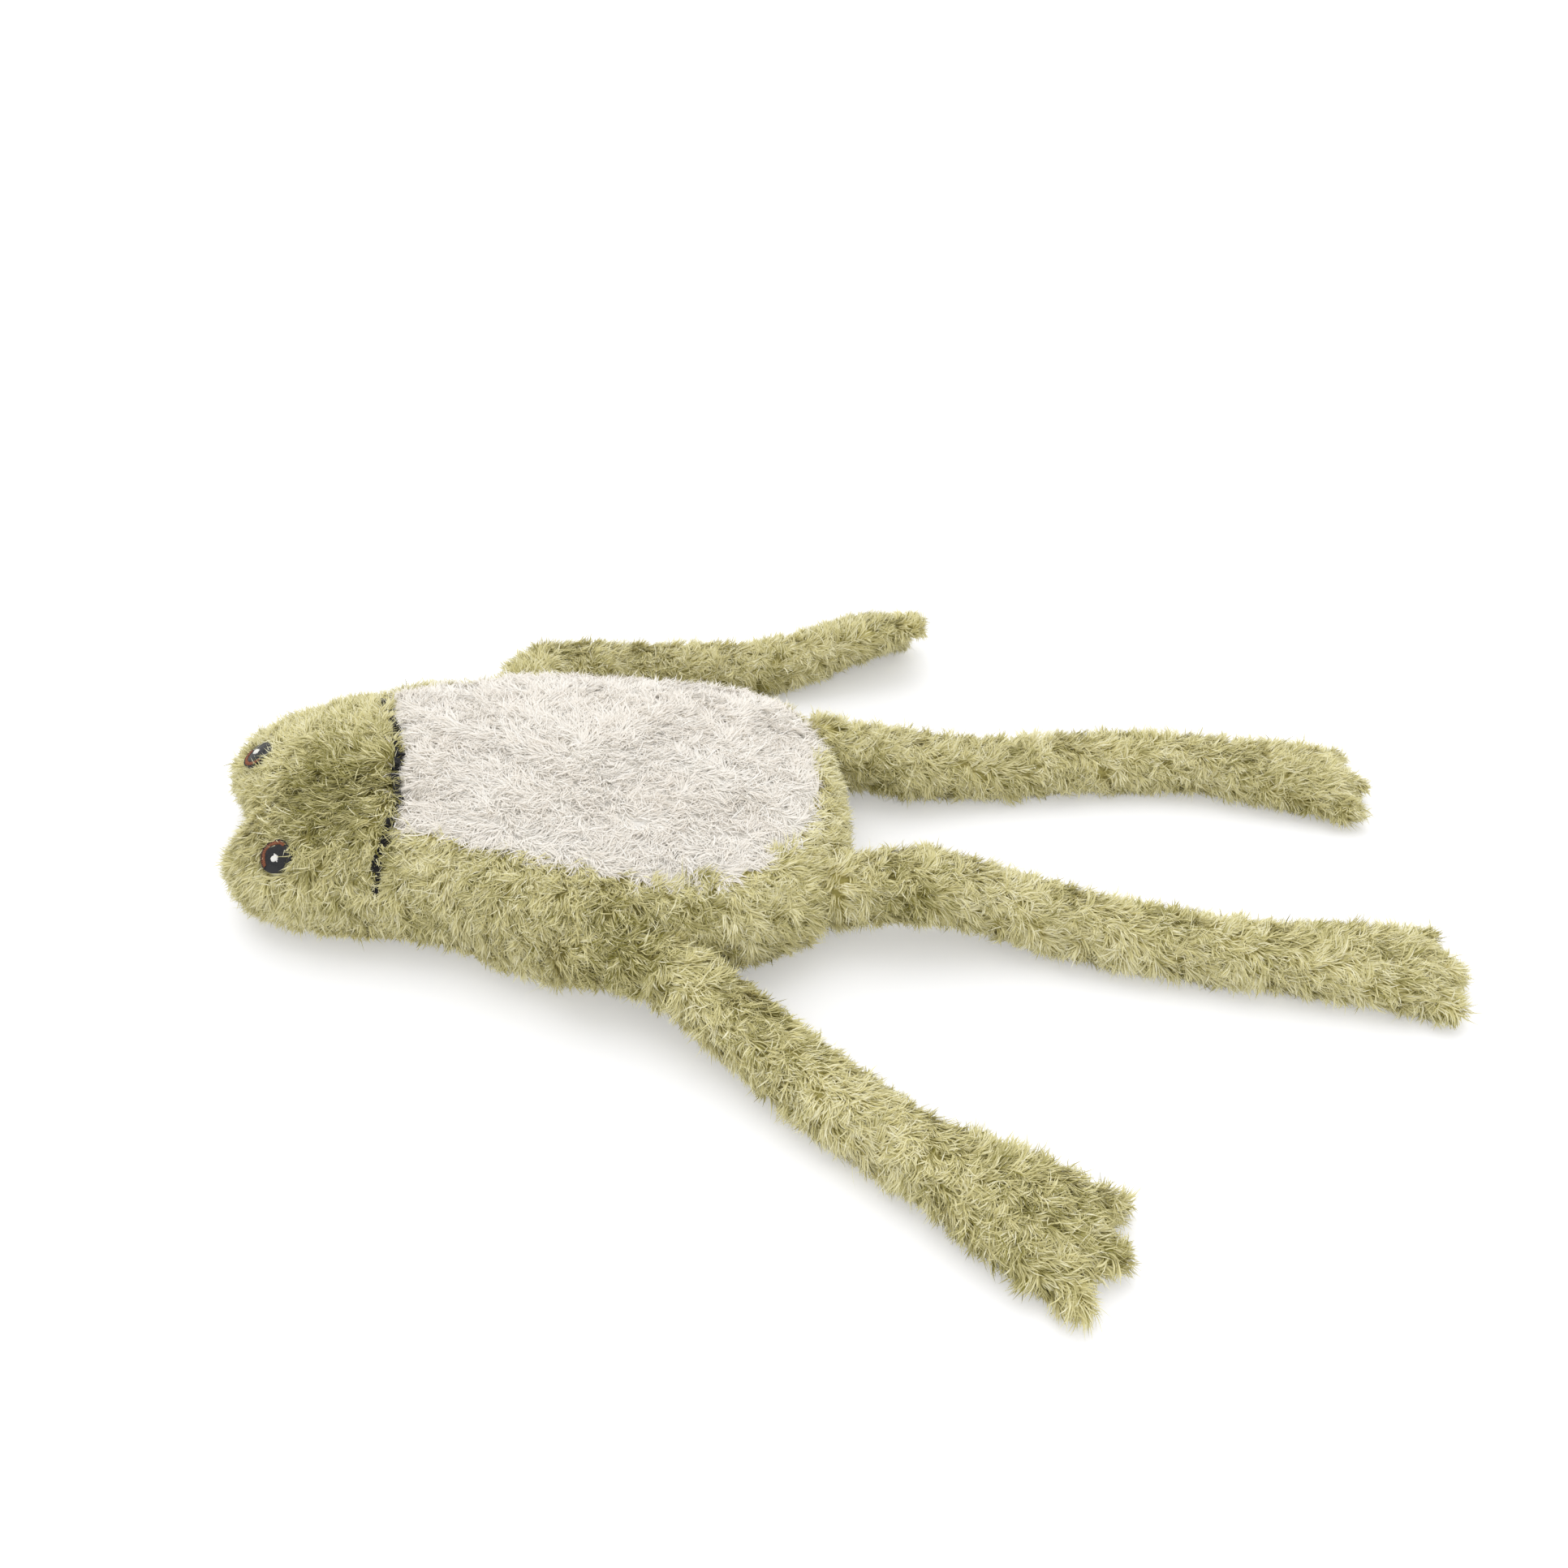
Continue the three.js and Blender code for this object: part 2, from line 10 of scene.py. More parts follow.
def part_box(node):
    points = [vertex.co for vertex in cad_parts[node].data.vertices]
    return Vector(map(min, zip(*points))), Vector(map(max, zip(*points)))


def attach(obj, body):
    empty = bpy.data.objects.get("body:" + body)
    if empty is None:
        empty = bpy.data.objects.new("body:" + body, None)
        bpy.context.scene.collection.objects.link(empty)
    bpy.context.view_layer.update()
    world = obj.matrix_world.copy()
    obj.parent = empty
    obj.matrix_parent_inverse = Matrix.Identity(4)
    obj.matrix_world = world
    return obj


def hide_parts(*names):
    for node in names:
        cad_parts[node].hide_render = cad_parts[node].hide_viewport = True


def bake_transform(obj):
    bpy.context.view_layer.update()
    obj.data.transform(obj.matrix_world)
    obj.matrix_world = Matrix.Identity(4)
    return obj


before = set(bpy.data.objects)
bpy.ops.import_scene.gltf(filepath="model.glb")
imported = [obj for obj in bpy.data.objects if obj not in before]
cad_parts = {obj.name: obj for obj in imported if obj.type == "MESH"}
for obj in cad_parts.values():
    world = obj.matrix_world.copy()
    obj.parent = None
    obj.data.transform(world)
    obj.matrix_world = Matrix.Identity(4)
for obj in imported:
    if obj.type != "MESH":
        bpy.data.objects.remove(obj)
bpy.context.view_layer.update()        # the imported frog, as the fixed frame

bpy.ops.object.select_all(action="DESELECT")
scene = bpy.context.scene
mm = 0.001

# The camera stands low over the frog's right side and looks down along +Y.
photoView = {
    "place": (103.6, -420.7, 420),   # mm
    "lookDown": 42,                  # degrees under the horizon
    "focalPixels": 1630,             # of the photograph's 1932
    "framePixels": 1932,
    "filmWidth": 36,
}
bpy.ops.object.camera_add(
    location=[v * mm for v in photoView["place"]],
    rotation=(math.radians(90 - photoView["lookDown"]), 0, 0),
)
camera = bpy.context.object
camera.data.sensor_width = photoView["filmWidth"]
camera.data.lens = photoView["filmWidth"] * photoView["focalPixels"] / photoView["framePixels"]
camera.data.clip_start = 0.01
scene.camera = camera
print("camera placed")


def toLinear(colour):
    parts = [int(colour[i:i + 2], 16) / 255 for i in (1, 3, 5)]
    return [p / 12.92 if p <= 0.04045 else ((p + 0.055) / 1.055) ** 2.4 for p in parts] + [1]


def addNode(material, kind, settings=None, links=None):
    node = material.node_tree.nodes.new("ShaderNode" + kind)
    for name, value in (settings or {}).items():
        if isinstance(name, str) and hasattr(node, name):
            setattr(node, name, value)
        else:
            node.inputs[name].default_value = value
    for socket, source in (links or {}).items():
        material.node_tree.links.new(source, node.inputs[socket])
    return node


def newMaterial(name):
    material = bpy.data.materials.new(name)
    material.use_nodes = True
    material.node_tree.nodes.clear()
    return material


def setRamp(node, stops):
    ramp = node.color_ramp
    ramp.elements.remove(ramp.elements[-1])
    for place, colour in stops:
        ramp.elements.new(place).color = toLinear(colour)
    ramp.elements.remove(ramp.elements[0])


# Cloth, felt or thread: a fine texture tints it and stands up from it, by a share and a height in mm.
def clothLike(name, texture, pattern, stops, relief, finish):
    material = newMaterial(name)
    place = addNode(material, "TexCoord")
    grain = addNode(material, texture, pattern, {"Vector": place.outputs["Object"]})
    tint = addNode(material, "ValToRGB", links={"Fac": grain.outputs["Fac"]})
    setRamp(tint, stops)
    share, height = relief
    raised = addNode(material, "Bump", {"Strength": share, "Distance": height * mm}, {
        "Height": grain.outputs["Fac"],
    })
    surface = addNode(material, "BsdfPrincipled", finish, {
        "Base Color": tint.outputs["Color"], "Normal": raised.outputs["Normal"],
    })
    addNode(material, "OutputMaterial", links={"Surface": surface.outputs["BSDF"]})
    return material


def pick(*objects):
    bpy.ops.object.select_all(action="DESELECT")
    for o in objects:
        o.select_set(True)
    bpy.context.view_layer.objects.active = objects[0]


def inEditMode(o, *steps):
    pick(o)
    bpy.ops.object.mode_set(mode="EDIT")
    bpy.ops.mesh.select_all(action="SELECT")
    for step in steps:
        step()
    bpy.ops.object.mode_set(mode="OBJECT")


def finishWith(o, kind, **settings):
    pick(o)
    modifier = o.modifiers.new(kind.title(), kind)
    for name, value in settings.items():
        setattr(modifier, name, value)
    bpy.ops.object.modifier_apply(modifier=modifier.name)


def pointsOf(o):
    found = np.empty(len(o.data.vertices) * 3)
    o.data.vertices.foreach_get("co", found)
    return found.reshape(-1, 3)


def movePoints(o, points):
    o.data.vertices.foreach_set("co", points.astype(np.float32).ravel())
    o.data.update()


def normalsOf(o):
    found = np.empty(len(o.data.vertices) * 3)
    o.data.vertex_normals.foreach_get("vector", found)
    return found.reshape(-1, 3)


def unit(v):
    return v / np.maximum(np.linalg.norm(v, axis=-1, keepdims=True), 1e-9)


def ease(x, low, high):
    t = np.clip((x - low) / (high - low), 0, 1)
    return t * t * (3 - 2 * t)


# A smooth unevenness over a surface, about as large as 1, with humps of a size in mm.
def waves(points, size, seed, count=7):
    rng = np.random.default_rng(seed)
    total = np.zeros(len(points))
    for _ in range(count):
        way = rng.normal(size=3)
        way *= 2 * math.pi / (size * mm * rng.uniform(0.7, 1.6)) / np.linalg.norm(way)
        total += np.sin(points @ way + rng.uniform(0, 2 * math.pi))
    return total / math.sqrt(count / 2)


def duplicate(o, name):
    twin = o.copy()
    twin.data = o.data.copy()
    twin.name = name
    scene.collection.objects.link(twin)
    return twin


def surfaceOf(o):
    return BVHTree.FromPolygons([v.co for v in o.data.vertices], [tuple(p.vertices) for p in o.data.polygons])


def distancesTo(surface, points):
    return np.array([surface.find_nearest(p)[3] for p in points])


def treeOf(points):
    tree = KDTree(len(points))
    for i, p in enumerate(points):
        tree.insert(p, i)
    tree.balance()
    return tree


# From each point to the nearest one of a tree, in mm.
def nearestIn(tree, points):
    return np.array([tree.find(p)[2] for p in points]) / mm


# Whether each point lies inside a closed surface: a line up from it leaves through an odd number of walls.
def insideOf(surface, points):
    up, found = Vector((0.05, 0.08, 1)).normalized(), []
    for p in points:
        walls, at = 0, Vector(p)
        while at is not None:
            at = surface.ray_cast(at + up * 1e-6, up)[0]
            walls += at is not None
        found.append(walls % 2 == 1)
    return np.array(found, bool)


# Sewn and stuffed forms: each starts from its solids, under the pile's level, and is blown up by its filling.
softForm = {
    "voxel": 2.4,       # mm
    "under": 1.6,       # from the pile's dense level down to the cover
    "cap": 1.4,         # the most that the filling swells it
    "pressure": 4,
    "frames": 20,
    "packed": 2.2,      # cover and the foot of its pile, over the filling
}


def copiesOf(nodes, name):
    copies = []
    for node in nodes:
        o = duplicate(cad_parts[node], name)
        o.parent = None
        for key in list(o.keys()):
            del o[key]
        copies.append(o)
    pick(*copies)
    if len(copies) > 1:
        bpy.ops.object.join()
    o = bpy.context.object
    o.name = name
    o.data.materials.clear()
    inEditMode(o, lambda: bpy.ops.mesh.remove_doubles(threshold=0.01 * mm))
    return o


def remesh(o, voxel):
    pick(o)
    o.data.remesh_voxel_size = voxel * mm
    bpy.ops.object.voxel_remesh()
    inEditMode(o, lambda: bpy.ops.mesh.separate(type="LOOSE"))
    parts = sorted(bpy.context.selected_objects, key=lambda p: len(p.data.vertices))
    main = parts.pop()
    for part in parts:
        bpy.data.objects.remove(part)
    return main


def swell(o):
    before = pointsOf(o)
    cloth = o.modifiers.new("Cloth", "CLOTH")
    cloth.settings.use_pressure = True
    cloth.settings.uniform_pressure_force = softForm["pressure"]
    cloth.settings.effector_weights.gravity = 0
    cloth.settings.quality = 4
    for number in range(1, softForm["frames"] + 1):
        scene.frame_set(number)
    pick(o)
    bpy.ops.object.modifier_apply(modifier=cloth.name)
    scene.frame_set(1)
    moved = pointsOf(o) - before
    far = np.linalg.norm(moved, axis=1, keepdims=True)
    movePoints(o, before + moved * np.minimum(1, softForm["cap"] * mm / np.maximum(far, 1e-9)))


def stuffed(nodes, name):
    o = remesh(copiesOf(nodes, name), softForm["voxel"])
    finishWith(o, "SMOOTH", factor=0.5, iterations=4)
    finishWith(o, "DISPLACE", strength=-(softForm["under"] + softForm["cap"]) * mm, mid_level=0)
    swell(o)
    finishWith(o, "SMOOTH", factor=0.5, iterations=2)
    o.name = name
    print("stuffed", name, len(o.data.vertices), "points")
    return o


def fillingOf(cover, name):
    o = duplicate(cover, name)
    finishWith(o, "DISPLACE", strength=-softForm["packed"] * mm, mid_level=0)
    finishWith(o, "SMOOTH", factor=0.5, iterations=4)
    return o


# One fibre of the pile: a blade with a fine foot and a fine tip, as wide as 1 and as long as 1.
def modelFibre():
    bpy.ops.mesh.primitive_plane_add(size=1, location=(0, 0.5, 0))
    o = bpy.context.object
    bpy.ops.object.transform_apply(location=True)
    movePoints(o, pointsOf(o) * (1, 0.36, 1) + (0, 0.36, 0))
    for row, width, reach in ((0.72, 0.76, 0.28), (0.36, 1, -0.36)):
        for v in o.data.vertices:
            v.select = abs(v.co.y - row) < 0.01
        for e in o.data.edges:
            e.select = all(o.data.vertices[i].select for i in e.vertices)
        for p in o.data.polygons:
            p.select = False
        bpy.ops.object.mode_set(mode="EDIT")
        bpy.ops.transform.resize(value=(width, 1, 1))
        bpy.ops.mesh.extrude_region_move(TRANSFORM_OT_translate={"value": (0, reach, 0)})
        bpy.ops.mesh.merge(type="CENTER")
        bpy.ops.object.mode_set(mode="OBJECT")
    points = pointsOf(o)
    faces = [tuple(p.vertices) for p in o.data.polygons]
    bpy.data.objects.remove(o)
    return points, faces


fibrePoints, fibreFaces = modelFibre()
print("fibre modelled", fibrePoints.round(2).tolist(), fibreFaces)


# The triangles of a cover, for scattering fibres over them.
class Cover:
    def __init__(self, o):
        o.data.calc_loop_triangles()
        count = len(o.data.loop_triangles)
        corners = np.empty(count * 3, int)
        o.data.loop_triangles.foreach_get("vertices", corners)
        owner = np.empty(count, int)
        o.data.loop_triangles.foreach_get("polygon_index", owner)
        self.corners, self.owner = corners.reshape(-1, 3), owner
        self.points, self.normals = pointsOf(o), normalsOf(o)
        a, b, c = (self.points[self.corners[:, k]] for k in range(3))
        self.areas = np.linalg.norm(np.cross(b - a, c - a), axis=1) / 2
        underneath = (a + b + c)[:, 2] / 3 < restingPile["below"] * mm
        self.areas[underneath] *= restingPile["share"]
        self.faces = [tuple(p.vertices) for p in o.data.polygons]

    def scatter(self, faces, perSquareMm, most, rng):
        weight = np.where(faces[self.owner], self.areas, 0)
        count = min(most, int(weight.sum() / mm ** 2 * perSquareMm))
        steps = np.cumsum(weight)
        chosen = np.searchsorted(steps, rng.uniform(0, steps[-1], count))
        r, s = np.sqrt(rng.uniform(size=count)), rng.uniform(size=count)
        shares = np.stack([1 - r, r * (1 - s), r * s], 1)[:, :, None]
        corners = self.corners[chosen]
        return (
            (self.points[corners] * shares).sum(1),
            unit((self.normals[corners] * shares).sum(1)),
        )


toneEnds = (0.02, 0.98)
restingPile = {"below": 3.5, "share": 0.4}    # mm over the floor, and how many fibres are kept there
greenPile = {
    "perSquareMm": 2.8, "most": 44500, "perTuft": 20, "tuftRoots": 0.14,
    "stand": 1.0, "standWaves": 0.1, "standSize": 18, "tuftStand": 0.12, "fibreStand": 0.2,     # mm
    "lay": 6.6, "tuftLay": 0.12, "fibreLay": 0.2, "rise": 14, "tuftRise": 7, "fibreRise": 11,   # mm, degrees
    "width": 0.5, "widths": (0.2, 0.5, 1.6), "middleAt": 0.35, "arch": 0.1,
    "tuftCurl": 0.4, "fibreCurl": 0.2, "clump": 0.14, "twist": 6,
    "swirl": 22, "swirlSize": 24, "tuftTurn": 36, "fibreTurn": 14,                              # degrees, mm
    "strays": 0.06, "strayTurn": 60, "strayRise": 14, "strayTone": 0.3,
    "floor": 0.5, "floorShares": (0.3, 1.6),                                                    # mm
    "coverWaves": 0.06, "coverSize": 9,
    # the cover's tone sits under the fibres' tone, as painted shade in the depth under the pile
    "tone": 0.53, "toneWaves": 0.05, "toneSize": 30, "tuftTone": 0.09, "fibreTone": 0.2, "coverToneAndShade": 0.45,
    "softLight": 0.4,
}
creamPile = {
    **greenPile, "width": 0.46, "perTuft": 14, "rise": 11, "tuftRise": 5, "fibreRise": 8, "swirl": 60,
    "tuftTurn": 34, "fibreTurn": 20, "clump": 0.05, "tuftTone": 0.045, "fibreTone": 0.11,
}

# Places where the plush is painted darker, or lighter, in mm: partly where it is pressed or brushed the other
# way, partly painted shade where shade falls, on the head's middle, at the roots of the right arm and right
# thigh, low on the right flank and on the right hand, and painted light on top of the hips.
paintedShadeZones = [
    ((-84, -12, 54), 28, -0.42),
    ((-62, -30, 50), 20, -0.12),
    ((42, -84, 30), 20, -0.3),
    ((-40, -80, 12), 26, -0.12),
    ((150, -52, 30), 16, -0.22),
    ((118, -28, 46), 18, 0.12),
    ((128, 20, 40), 18, 0.1),
    ((192, -186, 20), 40, -0.14),
]


def paintedShadeAt(points):
    total = np.zeros(len(points))
    for middle, radius, amount in paintedShadeZones:
        away = np.linalg.norm(points - np.array(middle) * mm, axis=1) / (radius * mm)
        total += amount * np.exp(-away ** 2)
    return total


# The cover's tone: its base, set low as painted shade under the pile, uneven at random, plus the zones'
# painted shade and light.
def coverTonesAndShade(points, seed):
    uneven = greenPile["coverWaves"] * waves(points, greenPile["coverSize"], seed)
    return greenPile["coverToneAndShade"] + uneven + paintedShadeAt(points)


def growPile(cover, faces, pile, comb, seed, keep=None):
    rng = np.random.default_rng(seed)
    roots, normals = cover.scatter(faces, pile["perSquareMm"], pile["most"], rng)
    if keep:
        kept = keep(roots)
        roots, normals = roots[kept], normals[kept]
    count = len(roots)
    # every fibre belongs to the nearest tuft
    tuftCount = max(1, int(count / pile["perTuft"]))
    tree = treeOf(roots[:tuftCount])
    tuft = np.array([tree.find(p)[1] for p in roots])

    def spread(name, least=-0.8, most=0.8):
        ofTuft = rng.normal(0, pile["tuft" + name], tuftCount)[tuft]
        return np.clip(ofTuft + rng.normal(0, pile["fibre" + name], count), least, most)[:, None]

    # the way the nap lies, swirled in patches, then turned tuft by tuft and fibre by fibre
    nap = comb(roots, normals)
    nap = unit(nap - normals * (nap * normals).sum(1, keepdims=True))
    side = np.cross(normals, nap)
    turn = pile["swirl"] * waves(roots, pile["swirlSize"], seed + 1)[:, None] + spread("Turn", -180, 180)
    stray = (rng.uniform(size=count) < pile["strays"])[:, None]
    turn = np.radians(turn + stray * rng.normal(0, pile["strayTurn"], count)[:, None])
    way = nap * np.cos(turn) + side * np.sin(turn)
    across = np.cross(normals, way)
    stand = pile["stand"] * mm * (1 + pile["standWaves"] * waves(roots, pile["standSize"], seed + 2)[:, None])
    stand = stand * (1 + spread("Stand"))
    lay = pile["lay"] * mm * (1 + spread("Lay"))
    rise = np.radians(pile["rise"] + spread("Rise", -30, 50) + stray * pile["strayRise"])
    curl = spread("Curl")
    foot = roots + (roots[:tuftCount][tuft] - roots) * pile["tuftRoots"]
    tip = foot + normals * (stand + lay * np.sin(rise)) + lay * (way * np.cos(rise) + across * curl)
    part = pile["middleAt"]
    middle = foot + normals * (stand + lay * pile["arch"]) + lay * (way * part - across * curl * part)
    middleOfTuft = np.zeros((tuftCount, 3))
    np.add.at(middleOfTuft, tuft, tip)
    middleOfTuft /= np.bincount(tuft, minlength=tuftCount)[:, None]
    tip += (middleOfTuft[tuft] - tip) * pile["clump"]
    # each fibre is a copy of the one that was modelled, laid along its curve
    t = fibrePoints[:, 1][None, :, None]
    line = foot[:, None] * (1 - t) ** 2 + middle[:, None] * 2 * t * (1 - t) + tip[:, None] * t ** 2
    twist = np.radians(rng.normal(0, pile["twist"], count))[:, None]
    facing = normals * np.cos(twist) + across * np.sin(twist)
    sideways = unit(np.cross(tip - foot, facing))[:, None]
    uneven, least, most = pile["widths"]
    width = pile["width"] * mm * np.clip(rng.normal(1, uneven, count), least, most)[:, None, None]
    points = line + sideways * width * fibrePoints[:, 0][None, :, None]
    along = (middle - foot)[:, None] * (1 - t) + (tip - middle)[:, None] * t
    lit = unit(np.cross(sideways, along)) + pile["softLight"] * ease(t, 0.1, 0.7) * normals[:, None]
    # nothing goes into the floor
    low = pile["floor"] * mm * rng.uniform(*pile["floorShares"], count)[:, None]
    points[:, :, 2] = np.maximum(points[:, :, 2], low)
    # each fibre's tone: uneven at random, plus the zones' painted shade and light
    tone = pile["tone"] + pile["toneWaves"] * waves(roots, pile["toneSize"], seed + 3) + paintedShadeAt(roots)
    tone = np.clip(tone + (spread("Tone") + stray * pile["strayTone"])[:, 0], *toneEnds)
    return points, tone, unit(lit)


# One piece of plush: its cover and the fibres on it. Tone and place along a fibre are also its baking map.
def plushPiece(name, cover, faces, grown, material, coverToneAndShade):
    points, tone, lit = grown
    count, each = points.shape[:2]
    used, coverLoops, coverSizes = {}, [], []
    for f in np.flatnonzero(faces):
        corners = cover.faces[f]
        coverSizes.append(len(corners))
        coverLoops.extend(used.setdefault(v, len(used)) for v in corners)
    chosen = list(used)
    base = len(chosen)
    pattern = np.array([i for face in fibreFaces for i in face])
    starts = base + np.arange(count)[:, None] * each
    loops = np.concatenate([coverLoops, (starts + pattern).ravel()]).astype(np.int32)
    sizes = np.concatenate([coverSizes, np.tile([len(f) for f in fibreFaces], count)]).astype(np.int32)
    places = np.concatenate([cover.points[chosen], points.reshape(-1, 3)])
    mesh = bpy.data.meshes.new(name)
    mesh.vertices.add(len(places))
    mesh.vertices.foreach_set("co", places.astype(np.float32).ravel())
    mesh.loops.add(len(loops))
    mesh.loops.foreach_set("vertex_index", loops)
    mesh.polygons.add(len(sizes))
    mesh.polygons.foreach_set("loop_start", np.concatenate([[0], np.cumsum(sizes)[:-1]]).astype(np.int32))
    mesh.update(calc_edges=True)
    alongFibre = np.concatenate([np.zeros(base), np.tile(fibrePoints[:, 1], count)])
    allTones = np.concatenate([coverToneAndShade[chosen], np.repeat(tone, each)])
    for key, values in (("alongFibre", alongFibre), ("tone", allTones)):
        mesh.attributes.new(key, "FLOAT", "POINT").data.foreach_set("value", values.astype(np.float32))
    # the map is spread a little, so that no face is without width on it
    rng = np.random.default_rng(count)
    aside = np.concatenate([np.zeros(base), np.tile(fibrePoints[:, 0], count) * 0.02])
    up = np.concatenate([rng.uniform(0, 0.03, base), np.zeros(count * each)])
    onMap = np.stack([allTones + aside, 0.02 + 0.96 * alongFibre + up], 1)[loops]
    mesh.uv_layers.new(name="OFBake").uv.foreach_set("vector", onMap.astype(np.float32).ravel())
    mesh.polygons.foreach_set("use_smooth", np.ones(len(sizes), bool))
    mesh.normals_split_custom_set_from_vertices(
        np.concatenate([cover.normals[chosen], lit.reshape(-1, 3)]).tolist())
    mesh.materials.append(material)
    piece = bpy.data.objects.new(name, mesh)
    scene.collection.objects.link(piece)
    print("plush", name, count, "fibres", int((sizes - 2).sum()), "triangles")
    return piece


# Long-pile boa fleece, knitted from soft crimped polyester, with a dull sheen and a little light through it.
# Each fibre's foot carries painted shade and light for the depth of the pile: the green is darker and fuller
# there and paler at its tip, as painted shade; the cream is lighter there, as painted light against the
# shade.
def boaFleece(name, footColoursAndPaintedLight, tipColours, through):
    material = newMaterial(name)
    along = addNode(material, "Attribute", {"attribute_name": "alongFibre"})
    tone = addNode(material, "Attribute", {"attribute_name": "tone"})
    foot = addNode(material, "ValToRGB", links={"Fac": tone.outputs["Fac"]})
    setRamp(foot, footColoursAndPaintedLight)
    tip = addNode(material, "ValToRGB", links={"Fac": tone.outputs["Fac"]})
    setRamp(tip, tipColours)
    rise = addNode(material, "MapRange", {
        "From Min": 0.0, "From Max": 0.75, "interpolation_type": "SMOOTHSTEP",
    }, {"Value": along.outputs["Fac"]})
    colour = addNode(material, "Mix", {"data_type": "RGBA"}, {
        "Factor": rise.outputs["Result"], 6: foot.outputs["Color"], 7: tip.outputs["Color"],
    })
    fibre = addNode(material, "BsdfPrincipled", {
        "Roughness": 0.75, "Specular IOR Level": 0.25, "Sheen Weight": 0.1, "Sheen Roughness": 0.5,
    }, {"Base Color": colour.outputs[2]})
    glow = addNode(material, "BsdfTranslucent", links={"Color": colour.outputs[2]})
    both = addNode(material, "MixShader", {"Fac": through}, {
        1: fibre.outputs["BSDF"], 2: glow.outputs["BSDF"],
    })
    addNode(material, "OutputMaterial", links={"Surface": both.outputs["Shader"]})
    return material


greenFleece = boaFleece(
    "green boa fleece",
    # green: feet darker than the tips, as painted shade in the depth of the pile
    [(0.0, "#6a6020"), (0.5, "#cfc57a"), (1.0, "#e6dc9b")],
    [(0.0, "#898233"), (0.5, "#ebe4ae"), (1.0, "#fdfade")],
    0.22,
)
creamFleece = boaFleece(
    "cream boa fleece",
    # cream: feet lighter than the tips, as painted light against the shade among the fibres
    [(0.0, "#f9f5ed"), (0.5, "#fdfaf4"), (1.0, "#fffefa")],
    [(0.0, "#f3ede3"), (0.5, "#fbf6ee"), (1.0, "#fffdf8")],
    0.12,
)

# The body is one stuffed form with a fold at the mouth, under five panels of plush.
body = {
    "foldStart": (-0.020, 0, 0.027), "foldEnd": (-0.060, -0.009, 0.027),
    # the seam's tone is painted shade: the cover is darkened along the sunken seam
    "seamDepth": 1.3, "seamWidth": 3.2, "seamShade": -0.22,          # mm
    "mouthDepth": 1.2, "mouthWidth": 4.0, "mouthReach": 7, "clearOfTrim": 1.7,
    "creamBeyond": 14, "creamBeyondFrom": (8, 40), "creamShort": 4, "creamShortFrom": (30, 55),
    "fill": 0.7,
}
bodyPanels = {
    "torsoBackCover": {"node": "torso_back_panel", "pole": (-10, 0, 20), "pile": greenPile},
    "torsoFrontCover": {"node": "torso_front_panel", "pole": (-10, 0, 20), "pile": greenPile},
    "bellyPanel": {"node": "belly_panel", "pole": (20, 10, 10), "pile": creamPile},
    "headFrontCover": {"node": "head_front_panel", "pole": (-60, 0, 30), "pile": greenPile},
    "headBackCover": {"node": "head_back_panel", "pole": (-60, 0, 30), "pile": greenPile},
}
bodyCover = stuffed(
    [panel["node"] for panel in bodyPanels.values()] + ["torso_stuffing", "head_stuffing"], "bodyCover")

# Where each limb is sewn on its cover is fuller and reaches up and in over the seam, in mm.
limbs = {
    "right_arm": {
        "parts": ("right_upper_arm", "right_forearm"), "bend": (126.5, -144.0), "inward": (0, 7, 6),
        "path": [(25, -86), (43, -88), (69, -98), (105, -126), (141, -155), (179, -180), (220, -202)],
    },
    "left_arm": {
        "parts": ("left_upper_arm", "left_forearm"), "bend": (74.3, 118.4), "inward": (0, -4, 4),
        "path": [(-21, 86), (-21, 104), (0, 118), (46, 119), (92, 120), (135, 138), (177, 155)],
    },
    "right_leg": {
        "parts": ("right_thigh", "right_shin"), "bend": (238.7, -58.6), "inward": (-4, 0, 3),
        "path": [(132, -46), (182, -46), (231, -57), (280, -68), (329, -74), (379, -77)],
    },
    "left_leg": {
        "parts": ("left_thigh", "left_shin"), "bend": (234.9, 46.4), "inward": (-4, 0, 2),
        "path": [(127, 46), (157, 43), (202, 44), (252, 47), (302, 46), (351, 38), (376, 37)],
    },
}
limbRoots = {
    "near": 12, "far": 66, "fuller": 3.2, "bare": 14, "bendReach": 16, "bendHeight": 12,    # mm
    "fill": 0.6,
}

for limb, data in limbs.items():
    upper, lower = data["parts"]
    nodes = [part + kind for part in (upper, lower) for kind in ("_sleeve", "_stuffing")]
    o = stuffed(nodes, limb + "Cover")
    points, root = pointsOf(o), np.array(data["path"][0])
    away = np.linalg.norm(points[:, :2] / mm - root, axis=1)
    share = (1 - ease(away, limbRoots["near"], limbRoots["far"]))[:, None]
    points += share * (normalsOf(o) * limbRoots["fuller"] + np.array(data["inward"])) * mm
    movePoints(o, points)
    data["cover"] = o

# The flank swells where the right arm is sewn on and drops away along a crease beside it.
# At the left arm it swells less.
shoulders = {
    "crease": ((41, -66), (62, -90)), "swell": 6, "steep": (-1, 5), "fade": (14, 60), "from": (56, 74),
    "leftMiddle": (-10, 76, 26), "leftRadius": 20, "leftSwell": 3.5,
}


def shoulderSwell(points):
    start, end = (np.array(p) for p in shoulders["crease"])
    along = unit(end - start)
    headward = np.array([along[1], -along[0]])
    beside = (points[:, :2] / mm - start) @ headward
    swell = ease(beside, *shoulders["steep"]) * (1 - ease(beside, *shoulders["fade"]))
    swell *= ease(-points[:, 1] / mm, *shoulders["from"]) * shoulders["swell"]
    away = np.linalg.norm(points / mm - shoulders["leftMiddle"], axis=1) / shoulders["leftRadius"]
    return swell + shoulders["leftSwell"] * np.exp(-away ** 2)


def sinkOrSwell(o, amounts):
    movePoints(o, pointsOf(o) + normalsOf(o) * amounts[:, None] * mm)


sinkOrSwell(bodyCover, shoulderSwell(pointsOf(bodyCover)))

